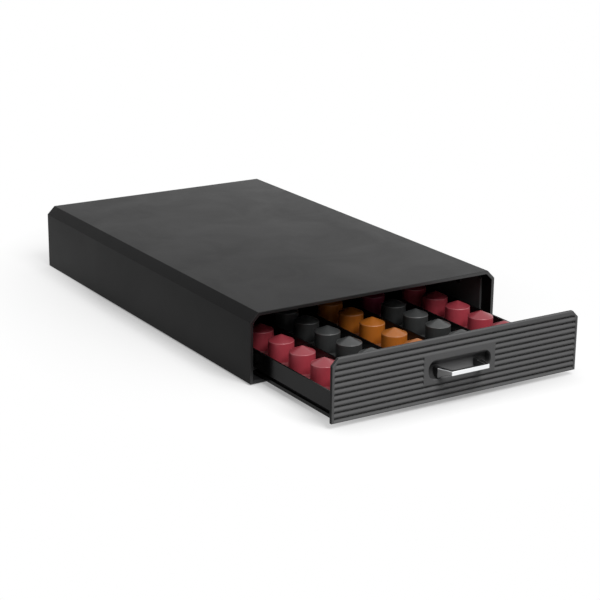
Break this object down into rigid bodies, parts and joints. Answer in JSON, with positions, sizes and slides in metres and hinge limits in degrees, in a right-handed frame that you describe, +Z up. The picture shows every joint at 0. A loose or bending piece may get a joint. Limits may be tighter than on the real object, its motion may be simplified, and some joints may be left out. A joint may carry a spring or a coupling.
{
  "type": "coffee pod drawer",
  "caption": "Flat tabletop housing with a sliding drawer, ribbed front, recessed bow handle and lanes that hold espresso pods on their rims.",
  "frame": {"origin": "on the table, under the centre of the box around the whole object with its drawer 131 mm open, as at rest; the housing's own centre is 73.5 mm behind it", "axes": "+X to the right seen from the front, +Y to the back, +Z up; the drawer opens towards -Y"},
  "size_m": [0.283, 0.597, 0.0698],
  "materials": {
    "cover_black": "satin",
    "base_black": "matte",
    "rail_black": "satin",
    "tray_black": "satin",
    "divider_black": "gloss",
    "front_black": "satin",
    "handle_chrome": "polished",
    "rubber": "matte",
    "screw_steel": "satin",
    "pod_red": "satin",
    "pod_grey": "satin",
    "pod_orange": "satin",
    "pod_burgundy": "satin",
    "foil": "satin"
  },
  "bodies": {
    "housing": {"housing_cover": "cover_black", "housing_base": "base_black", "back_panel": "base_black", "guide_rail_left": "rail_black", "guide_rail_right": "rail_black", "foot_front_left": "rubber", "foot_front_right": "rubber", "foot_rear_left": "rubber", "foot_rear_right": "rubber", "bumper_left": "rubber", "bumper_right": "rubber", "base_screws": "screw_steel", "back_screws": "screw_steel"},
    "drawer": {"drawer_chassis": "tray_black", "pod_tray": "tray_black", "divider_1": "divider_black", "divider_2": "divider_black", "divider_3": "divider_black", "divider_4": "divider_black", "front_panel": "front_black", "handle": "handle_chrome", "front_screws": "screw_steel", "handle_screws": "screw_steel", "tray_screws": "screw_steel", "stop_clip_left": "rail_black", "stop_clip_right": "rail_black", "pods_lane_1": "pod_red", "pods_lane_2": "pod_grey", "pods_lane_3": "pod_orange", "pods_lane_4": "pod_grey", "pods_lane_4_rear": "pod_burgundy", "pods_lane_5": "pod_red", "pod_lids": "foil"}
  },
  "joints": [
    {"name": "drawer_slide", "type": "slide", "parent": "housing", "child": "drawer", "axis": [0, -1, 0], "range_m": [-0.131, 0.169]}
  ]
}
